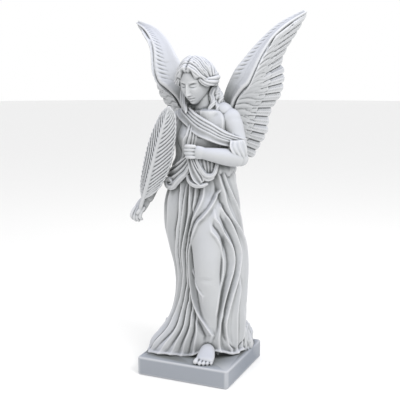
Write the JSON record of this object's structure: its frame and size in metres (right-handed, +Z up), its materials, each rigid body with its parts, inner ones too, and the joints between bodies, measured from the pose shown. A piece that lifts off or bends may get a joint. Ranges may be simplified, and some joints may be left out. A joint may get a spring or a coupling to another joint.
{
  "type": "cemetery angel statue",
  "caption": "Standing robed angel with raised wings, bowed head and a long feather held down at its side, cast in one with a low square plinth.",
  "frame": {"origin": "middle of the plinth's underside, on the ground", "axes": "+Z up; the plinth's sides run along X and Y; the figure faces -Y and its left hand is on the +X side"},
  "size_m": [0.8884, 0.4977, 1.6979],
  "materials": {
    "stone": "matt pale grey cast stone, lightly weathered"
  },
  "bodies": {
    "root": {"angel_statue": "stone"}
  },
  "joints": []
}
